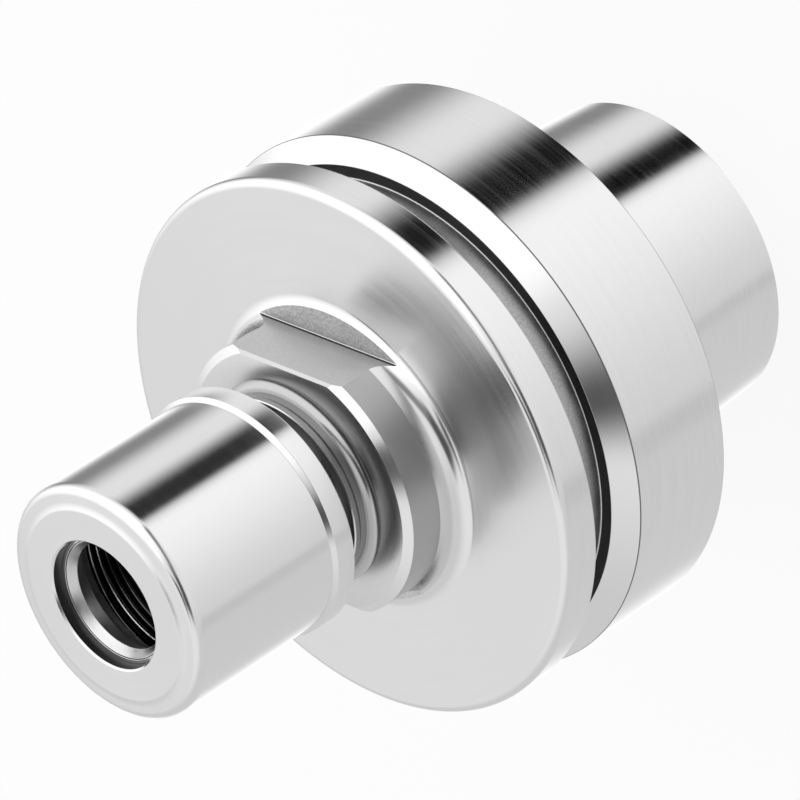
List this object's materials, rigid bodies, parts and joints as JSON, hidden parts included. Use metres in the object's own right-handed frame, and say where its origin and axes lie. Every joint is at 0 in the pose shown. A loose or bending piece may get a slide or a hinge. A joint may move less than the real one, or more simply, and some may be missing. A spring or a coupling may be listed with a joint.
{
  "type": "collet chuck holder",
  "caption": "Slim collet chuck on a short hollow taper shank, with a gripper-groove flange, wrench flats and a smooth round clamping nut that screws along the nose.",
  "frame": {"origin": "centre of the shank's end face, on the chuck's axis", "axes": "+Z along the axis from the shank end towards the nose and nut; the two wrench flats face +Y and -Y"},
  "size_m": [0.063, 0.063, 0.0863],
  "materials": {
    "body_steel": "ground bright, with fine lathe and grinding lines round the axis",
    "nut_steel": "ground bright barrel with a matt front face",
    "ring_steel": "ground bright",
    "wire_steel": "drawn spring wire"
  },
  "bodies": {
    "holder": {"chuck_body": "body_steel"},
    "bearing": {"slip_ring": "ring_steel"},
    "nut": {"clamping_nut": "nut_steel", "retaining_ring": "wire_steel"}
  },
  "joints": [
    {"name": "nut_travel", "type": "slide", "parent": "holder", "child": "bearing", "axis": [0, 0, 1], "range_m": [-0.004, 0.0035]},
    {"name": "nut_turn", "type": "hinge", "parent": "bearing", "child": "nut", "pos_m": [0, 0, 0.0748], "axis": [0, 0, 1], "range_deg": [-1440, 1260]}
  ],
  "couplings": [
    {"joint": "nut_travel", "follows": "nut_turn", "m_per_rad": 0.00015915}
  ]
}
